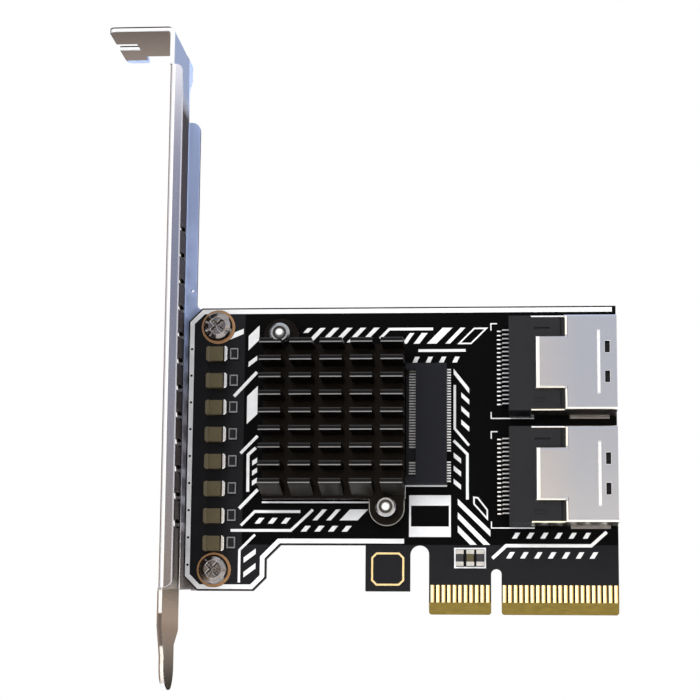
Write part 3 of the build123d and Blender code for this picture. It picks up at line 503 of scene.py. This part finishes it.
# A painted shade line, dark, follows the outer bend of the blade and the upper edge of the tab
bend_shade_line = shared(
    tree,
    over(tree, facing["X"], -0.6, -0.85),
    over(tree, facing["X"], -0.995, -0.98),
    over(tree, where["Y"], -14.8 * mm, -15 * mm),
)
tab_shade_line = shared(
    tree, over(tree, where["Z"], 105.8 * mm, 105.9 * mm), over(tree, facing["Y"], -0.5, -0.7)
)
colour = painted(
    tree, tint,
    (flange_blue_reflection, (0.52, 0.64, 1.0)), (flange_low_reflection, (0.5, 0.45, 0.47)),
    (tongue_top_reflection, (0.5, 0.4, 0.31)), (channel_shade, (0.055, 0.042, 0.037)),
    (tongue_edge_highlight, (0.88, 0.85, 0.8)), (taper_shade, (0.12, 0.095, 0.08)),
    (tongue_low_highlight, (0.8, 0.74, 0.66)), (tongue_side_shade, (0.2, 0.15, 0.12)),
    (vent_wall_shade, (0.03, 0.025, 0.02)), (lip_reflection, (0.62, 0.61, 0.66)),
    (bend_shade_line, (0.14, 0.09, 0.06)), (tab_shade_line, (0.03, 0.022, 0.017)),
)
tree.links.new(colour, shader.inputs["Base Color"])
# The painted reflection, shade and highlight here lose most of their metal, so that their colour shows
painted_light_areas = any_of(tree, channel_shade, flange_blue_reflection, tongue_edge_highlight, bend_shade_line)
tree.links.new(spread_value(tree, painted_light_areas, 1.0, 0.15), shader.inputs["Metallic"])
gloss = spread_value(tree, drawn.outputs["Grain"], 0.09, 0.15)
tree.links.new(gloss, shader.inputs["Roughness"])
roughen(tree, shader, drawn.outputs["Grain"], broken.outputs["Normal"], 0.06, 0.02 * mm)
dress("bracket", bracket_nickel)

# The screw pads and the badge: tinned copper rings round the screws, and a bare gold frame on the
# board's tab, both etched in the board's own copper.
pad_copper = plain_finish(
    "pad_copper", (0.35, 0.19, 0.09), (0.5, 0.3, 0.16), 0.34, (900, 900, 900), 0.03 * mm, metallic=1.0
)
dress("screw_pads", pad_copper)
dress("tab_badge", contact_gold)

# The bracket screws: turned steel with bright plated pan heads and a cross recess. They pull the
# bracket's lugs against the back of the board.
# The bright edge colour is rubbed wear and a painted highlight on the rounded edges
screw_steel = plain_finish(
    "screw_steel", (0.1, 0.085, 0.08), (0.45, 0.41, 0.39), 0.16, (700, 700, 700), 0.18 * mm, metallic=1.0,
    edge=(0.9, 0.88, 0.85),
)
dress("bracket_screw_upper", screw_steel)
dress("bracket_screw_lower", screw_steel)

# The capacitors: fired olive-brown ceramic blocks with tinned ends, soldered in a column. Their left
# ends carry a painted brown reflection, so that they look almost like the ceramic, and their right ends are
# bright.
capacitor_ceramic = plain_finish(
    "capacitor_ceramic", (0.065, 0.05, 0.02), (0.095, 0.075, 0.034), 0.42, (1500, 1500, 1500), 0.15 * mm,
    specular=0.35, bump=0.15,
)
contact_tin = plain_finish(
    "contact_tin", (0.5, 0.48, 0.45), (0.78, 0.76, 0.73), 0.34, (1200, 1200, 1200), 0.12 * mm, metallic=1.0,
    bump=0.2,
)
cap_tin, tree, shader = new_finish("capacitor_tin")
where = own_place(tree)
silver = tree.nodes.new("ShaderNodeRGB")
silver.outputs[0].default_value = (0.9, 0.89, 0.87, 1)
right_end = over(tree, where["X"], -51.5 * mm, -51.3 * mm)
# The left ends' painted brown reflection, with no metal
left_end_reflection = over(tree, where["X"], -51.3 * mm, -51.5 * mm)
# A band of painted shade stands between the ceramic and the bright end
end_shade_band = shared(tree, over(tree, where["X"], -49.9 * mm, -49.97 * mm), right_end)
colour = painted(tree, silver.outputs[0], (left_end_reflection, (0.09, 0.072, 0.036)), (end_shade_band, (0.02, 0.018, 0.015)))
tree.links.new(colour, shader.inputs["Base Color"])
tree.links.new(right_end, shader.inputs["Metallic"])
tree.links.new(spread_value(tree, right_end, 0.4, 0.2), shader.inputs["Roughness"])
corner = add_group(tree, rounded_edges, Radius=0.2 * mm)
tree.links.new(corner.outputs["Normal"], shader.inputs["Normal"])
capacitor_count = 8
for n in range(1, capacitor_count + 1):
    dress(f"capacitor_body_{n}", capacitor_ceramic)
    dress(f"capacitor_ends_{n}", cap_tin)

# The small resistors: one stands right of each capacitor, a dark glazed chip soldered flat on the
# board. Its printed film is sunk a little inside a thin tinned rim.
resistor_black = plain_finish(
    "resistor_black", (0.004, 0.004, 0.005), (0.01, 0.01, 0.012), 0.35, (900, 900, 900), 0.05 * mm,
    specular=0.2,
)
resistor_rim = plain_finish(
    "resistor_rim", (0.12, 0.12, 0.125), (0.4, 0.4, 0.42), 0.3, (1600, 1600, 1600), 0.05 * mm,
    metallic=1.0,
)
resistor_width, resistor_depth, resistor_height = 1.6 * mm, 0.5 * mm, 2.1 * mm
resistor_raise = 0.25 * mm
first_low, first_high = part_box("capacitor_body_1")
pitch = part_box("capacitor_body_2")[0][2] - first_low[2]
resistor_at = (-48.35 * mm, -0.26 * mm, (first_low[2] + first_high[2]) / 2 + resistor_raise)
bpy.ops.object.select_all(action="DESELECT")
bpy.ops.mesh.primitive_cube_add(
    size=1, location=resistor_at, scale=(resistor_width, resistor_depth, resistor_height)
)
resistor = bpy.context.object
resistor.name = "pulse_resistor_1"
bpy.ops.object.transform_apply(location=True, rotation=True, scale=True)
resistor.data.materials.append(resistor_black)
resistor.data.materials.append(resistor_rim)
bpy.ops.object.mode_set(mode="EDIT")
bpy.ops.mesh.select_all(action="SELECT")
bpy.ops.mesh.bevel(offset=0.08 * mm, segments=2, affect="EDGES")
bpy.ops.mesh.select_all(action="DESELECT")
bpy.ops.object.mode_set(mode="OBJECT")
for face in resistor.data.polygons:
    face.select = face.normal.y < -0.99
bpy.ops.object.mode_set(mode="EDIT")
bpy.context.tool_settings.mesh_select_mode = (False, False, True)
bpy.ops.mesh.inset(thickness=0.16 * mm, depth=0)
bpy.ops.mesh.select_all(action="INVERT")
bpy.context.object.active_material_index = 1
bpy.ops.object.material_slot_assign()
bpy.ops.mesh.select_all(action="INVERT")
bpy.ops.mesh.inset(thickness=0.22 * mm, depth=-0.06 * mm)
bpy.ops.object.mode_set(mode="OBJECT")
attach(resistor, "root")
for n in range(2, capacitor_count + 1):
    twin = resistor.copy()
    twin.data = resistor.data.copy()
    twin.data.transform(Matrix.Translation((0, 0, pitch * (n - 1))))
    twin.name = f"pulse_resistor_{n}"
    bpy.context.collection.objects.link(twin)
    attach(twin, "root")

# The heat sink: an aluminium extrusion, cross-cut and anodised black, that presses on the controller
# chip. Its blunt fin tips carry painted highlights along their lower and upper edges.
sink_anodised, tree, shader = new_finish("sink_anodised", specular=0.06)
where = own_place(tree)
facing = facing_way(tree)
# The height above the middle of the nearest row of fins
top_row = 48.575 * mm
half_row_pitch = 1.595 * mm
row = maths(tree, "SUBTRACT", where["Z"], top_row)
in_row = maths(tree, "WRAP", row, half_row_pitch, -half_row_pitch)
# Front faces are painted a little lighter and given metal; faces that turn away stay near black as painted
# shade
front = over(tree, facing["Y"], -0.9, -0.96)
tip = shared(tree, front, over(tree, where["Y"], -10.3 * mm, -10.5 * mm))
# Painted highlights along the upper and lower edges of each fin tip
upper_edge_highlight = shared(tree, tip, over(tree, in_row, 0.26 * mm, 0.3 * mm))
lower_edge_highlight = shared(tree, tip, over(tree, in_row, -0.2 * mm, -0.24 * mm))
# The spreading foot of the lowest row, a painted reflection that darkens further down as painted shade
foot = shared(
    tree,
    over(tree, facing["Z"], -0.02, -0.06),
    over(tree, facing["Z"], -0.99, -0.96),
    over(tree, where["Z"], 22.6 * mm, 22.4 * mm),
)
foot_low_shade = shared(tree, foot, over(tree, where["Z"], 22 * mm, 20.6 * mm))
corner = add_group(tree, rounded_edges, Radius=0.25 * mm)
# A painted highlight on the rounded rim of the lower lug
lug_rim_highlight = shared(
    tree,
    corner.outputs["Edge"],
    over(tree, where["Y"], -3.4 * mm, -3.2 * mm),
    over(tree, where["Z"], 20.6 * mm, 20 * mm),
)
streak = add_group(tree, grain, Size=(900, 60, 900))
blacks = two_tones(tree, streak.outputs["Grain"], (0.0009, 0.0008, 0.0008), (0.0016, 0.0013, 0.0011))
colour = painted(
    tree, blacks,
    (front, (0.0125, 0.0105, 0.009)), (tip, (0.014, 0.014, 0.0145)),
    (upper_edge_highlight, (0.06, 0.06, 0.063)), (lower_edge_highlight, (0.3, 0.3, 0.3)),
    (foot, (0.075, 0.068, 0.06)), (foot_low_shade, (0.03, 0.022, 0.016)),
    (lug_rim_highlight, (0.8, 0.78, 0.74)),
)
tree.links.new(colour, shader.inputs["Base Color"])
tree.links.new(any_of(tree, front, foot, lug_rim_highlight), shader.inputs["Metallic"])
gloss = spread_value(tree, streak.outputs["Grain"], 0.28, 0.32)
tree.links.new(gloss, shader.inputs["Roughness"])
dress("heat_sink", sink_anodised)

# The chip and its pad: a black epoxy moulding under the heat sink, with a grey silicone pad between.
# The heat sink hides both of them almost wholly.
chip_moulding = plain_finish(
    "chip_moulding", (0.012, 0.012, 0.013), (0.022, 0.022, 0.024), 0.55, (2500, 2500, 2500), 0.08 * mm, bump=0.2
)
pad_silicone = plain_finish(
    "pad_silicone", (0.3, 0.34, 0.38), (0.42, 0.46, 0.5), 0.7, (1500, 1500, 1500), 0.05 * mm, bump=0.2
)
dress("controller_chip", chip_moulding)
dress("thermal_pad", pad_silicone)

# The heat sink's pins: turned metal, pushed through its lugs and the board. Their heads carry a painted
# highlight in the middle, with a ring of painted shade round it.
pin_bright, tree, shader = new_finish("pin_bright")
coordinates = tree.nodes.new("ShaderNodeTexCoord")
flat = tree.nodes.new("ShaderNodeVectorMath")
flat.operation = "MULTIPLY"
flat.inputs[1].default_value = (1, 0, 1)
tree.links.new(coordinates.outputs["Object"], flat.inputs[0])
reaches = []
for place in ("upper", "lower"):
    low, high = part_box(f"heat_sink_pin_{place}")
    reach = tree.nodes.new("ShaderNodeVectorMath")
    reach.operation = "DISTANCE"
    reach.inputs[1].default_value = ((low[0] + high[0]) / 2, 0, (low[2] + high[2]) / 2)
    tree.links.new(flat.outputs[0], reach.inputs[0])
    reaches.append(reach.outputs["Value"])
from_axis = maths(tree, "MINIMUM", *reaches)
satin = add_group(tree, grain, Size=(900, 900, 900))
tones = two_tones(tree, satin.outputs["Grain"], (0.35, 0.35, 0.36), (0.55, 0.55, 0.56))
shade_ring = shared(tree, over(tree, from_axis, 0.75 * mm, 0.85 * mm), over(tree, from_axis, 1.3 * mm, 1.2 * mm))
dome_highlight = over(tree, from_axis, 0.75 * mm, 0.65 * mm)
colour = painted(tree, tones, (shade_ring, (0.06, 0.055, 0.05)), (dome_highlight, (0.93, 0.93, 0.93)))
tree.links.new(colour, shader.inputs["Base Color"])
tree.links.new(spread_value(tree, dome_highlight, 1.0, 0.3), shader.inputs["Metallic"])
gloss = spread_value(tree, satin.outputs["Grain"], 0.2, 0.3)
tree.links.new(gloss, shader.inputs["Roughness"])
for place in ("upper", "lower"):
    dress(f"heat_sink_pin_{place}", pin_bright)

# The pins' springs: bright steel wire, wound three turns between the lug and the pin's head. Each is
# the wire's round section, screwed up the pin's axis and then laid along it.
# The bright edge colour is rubbed wear and a painted highlight along the wire's edges
pin_metal = plain_finish(
    "pin_metal", (0.4, 0.4, 0.41), (0.62, 0.62, 0.63), 0.28, (900, 900, 900), 0.15 * mm, metallic=1.0,
    edge=(0.85, 0.85, 0.85),
)
wire = 0.16 * mm
turns = 3
for place in ("upper", "lower"):
    low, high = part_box(f"heat_sink_spring_{place}")
    coil_radius = (high[0] - low[0]) / 2 - wire
    coil_base = Matrix.Translation(((low[0] + high[0]) / 2, high[1], (low[2] + high[2]) / 2))
    bpy.ops.object.select_all(action="DESELECT")
    bpy.ops.mesh.primitive_circle_add(
        vertices=10, radius=wire, fill_type="NGON", rotation=(pi / 2, 0, 0), location=(coil_radius, 0, wire)
    )
    spring = bpy.context.object
    spring.name = f"coil_spring_{place}"
    bpy.ops.object.transform_apply(location=True, rotation=True, scale=True)
    winding = spring.modifiers.new("winding", "SCREW")
    winding.axis = "Z"
    winding.angle = 2 * pi
    winding.iterations = turns
    winding.steps = winding.render_steps = 20
    winding.screw_offset = ((high[1] - low[1]) - 2 * wire) / turns
    winding.use_merge_vertices = True
    winding.merge_threshold = 0.001 * mm
    bpy.ops.object.modifier_apply(modifier="winding")
    bpy.ops.object.mode_set(mode="EDIT")
    bpy.ops.mesh.select_all(action="SELECT")
    bpy.ops.mesh.normals_make_consistent(inside=False)
    bpy.ops.object.mode_set(mode="OBJECT")
    bpy.ops.object.shade_smooth_by_angle(angle=radians(50))
    spring.data.transform(coil_base @ Matrix.Rotation(pi / 2, 4, "X"))
    spring.data.materials.append(pin_metal)
    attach(spring, "root")
    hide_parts(f"heat_sink_spring_{place}")

# The module socket: a low black moulding with a row of fine contacts on its shelf and tails behind.
# The contacts are dark and dull on the shelf, and their tails are bright.
socket_plastic = plain_finish(
    "socket_plastic", (0.004, 0.0045, 0.007), (0.007, 0.0075, 0.011), 0.48, (2200, 2200, 2200), 0.08 * mm,
    specular=0.16, bump=0.15,
)
dress("module_socket_body", socket_plastic)
socket_tin, tree, shader = new_finish("socket_tin", metallic=1)
where = own_place(tree)
rough_plate = add_group(tree, grain, Size=(1800, 1800, 1800))
dark_tin = two_tones(tree, rough_plate.outputs["Grain"], (0.1, 0.1, 0.105), (0.5, 0.5, 0.5))
tail = over(tree, where["X"], -12 * mm, -10 * mm)
colour = painted(tree, dark_tin, (tail, (0.95, 0.95, 0.95)))
tree.links.new(colour, shader.inputs["Base Color"])
gloss = spread_value(tree, rough_plate.outputs["Grain"], 0.2, 0.5)
tree.links.new(gloss, shader.inputs["Roughness"])
dress("module_socket_contacts", socket_tin)

# The ports' housings: black glass-filled mouldings, soldered to the board by their contacts.
housing_plastic = plain_finish(
    "housing_plastic", (0.0065, 0.0065, 0.0078), (0.0105, 0.01, 0.0125), 0.5, (1800, 1800, 1800), 0.1 * mm,
    specular=0.25, bump=0.2,
)

# The ports' contacts: stamped strips, gold in the mouth and tinned where they come out as leads.
# Each lead is tin on its upper half, with its feet brightest as tin with a painted highlight, and
# painted shade on its lower half and on its sloping faces.
lead_metal, tree, shader = new_finish("lead_metal", metallic=1)
shader.inputs["Roughness"].default_value = 0.25
where = own_place(tree)
facing = facing_way(tree)
upper_port = 44.45 * mm
half_port_pitch = 10.025 * mm


def port_height(tree, height):
    """The height above the middle of the nearer port."""
    above = maths(tree, "SUBTRACT", height, upper_port)
    return maths(tree, "WRAP", above, half_port_pitch, -half_port_pitch)


gold = tree.nodes.new("ShaderNodeRGB")
gold.outputs[0].default_value = (0.95, 0.7, 0.32, 1)
# The feet's white is tin with a painted highlight
outside = over(tree, where["X"], 2.6 * mm, 2.4 * mm)
leg = shared(tree, over(tree, where["X"], 1.2 * mm, 1.4 * mm), outside)
tilted_shade = over(tree, maths(tree, "ABSOLUTE", facing["Y"]), 0.9, 0.6)
in_lead = maths(tree, "WRAP", port_height(tree, where["Z"]), 0.7 * mm, -0.1 * mm)
lower_half_shade = shared(
    tree, over(tree, in_lead, 0.06 * mm, 0.0 * mm), over(tree, where["X"], 2.6 * mm, 2.5 * mm)
)
colour = painted(
    tree, gold.outputs[0],
    (outside, (1.0, 1.0, 1.0)), (leg, (0.5, 0.5, 0.52)),
    (tilted_shade, (0.12, 0.12, 0.13)), (lower_half_shade, (0.02, 0.02, 0.025)),
)
tree.links.new(colour, shader.inputs["Base Color"])

# The ports' shells: folded from nickel-plated sheet and gripped round the housings, with a pressed
# rib and two latch windows. Their plating is satin, with painted highlights on the bends where the sheet
# is rolled over, on the rib and round the windows, a painted reflection that turns grey-blue to the
# right, and painted shade near the board.
shell_nickel, tree, shader = new_finish("shell_nickel", metallic=1)
where = own_place(tree)
height = port_height(tree, where["Z"])
from_middle = maths(tree, "ABSOLUTE", height)
front = over(tree, where["Y"], -9.3 * mm, -9.5 * mm)
saddle_bend_highlight = shared(tree, front, over(tree, where["X"], 8.0 * mm, 7.9 * mm))
shoulder_highlights = shared(
    tree, over(tree, from_middle, 4.9 * mm, 5.0 * mm), over(tree, where["X"], 12.85 * mm, 12.75 * mm)
)
saddle_low_highlight = shared(
    tree, over(tree, height, -4.45 * mm, -4.55 * mm), over(tree, where["X"], 12.4 * mm, 12.3 * mm)
)
rib_highlight = shared(
    tree,
    over(tree, where["X"], 18.2 * mm, 18.3 * mm),
    over(tree, where["X"], 18.75 * mm, 18.65 * mm),
    front,
    over(tree, from_middle, 5.7 * mm, 5.5 * mm),
)
rims = add_group(tree, rounded_edges, Radius=0.2 * mm)
window_rim_highlights = shared(tree, rims.outputs["Edge"], front, over(tree, where["X"], 13 * mm, 13.2 * mm))
satin = add_group(tree, grain, Size=(60, 60, 1200))
tones = two_tones(tree, satin.outputs["Grain"], (0.46, 0.44, 0.44), (0.5, 0.48, 0.48))
# Painted reflection turning grey-blue to the right, painted highlights on bends, rib and window rims, painted
# shade near the board
colour = painted(
    tree, tones,
    (over(tree, where["X"], 8.5 * mm, 15 * mm), (0.41, 0.42, 0.46)),
    (saddle_bend_highlight, (1.0, 0.98, 0.93)),
    (shoulder_highlights, (1.0, 0.93, 0.8)),
    (over(tree, height, -8.2 * mm, -8.3 * mm), (1.0, 0.95, 0.84)),
    (saddle_low_highlight, (1.0, 0.93, 0.78)),
    (over(tree, height, 8.35 * mm, 8.45 * mm), (0.95, 0.95, 0.98)),
    (rib_highlight, (1.0, 1.0, 1.0)),
    (window_rim_highlights, (1.0, 0.98, 0.95)),
    (over(tree, where["Y"], -1.2 * mm, -0.9 * mm), (0.22, 0.2, 0.19)),
)
tree.links.new(colour, shader.inputs["Base Color"])
gloss = spread_value(tree, satin.outputs["Grain"], 0.17, 0.22)
tree.links.new(gloss, shader.inputs["Roughness"])
corner = add_group(tree, rounded_edges, Radius=0.14 * mm)
tree.links.new(corner.outputs["Normal"], shader.inputs["Normal"])
for place in ("upper", "lower"):
    dress(f"{place}_port_housing", housing_plastic)
    dress(f"{place}_port_contacts", lead_metal)
    dress(f"{place}_port_shell", shell_nickel)

# The small chip parts above the contacts: two dark glazed resistors and a brown ceramic capacitor,
# all with tinned ends and soldered side by side.
resistor_glaze = plain_finish(
    "resistor_glaze", (0.01, 0.01, 0.013), (0.02, 0.02, 0.026), 0.3, (1500, 1500, 1500), 0.08 * mm
)
for n in range(1, 4):
    dress(f"small_chip_{n}", capacitor_ceramic if n == 2 else resistor_glaze)
    dress(f"small_chip_ends_{n}", contact_tin)
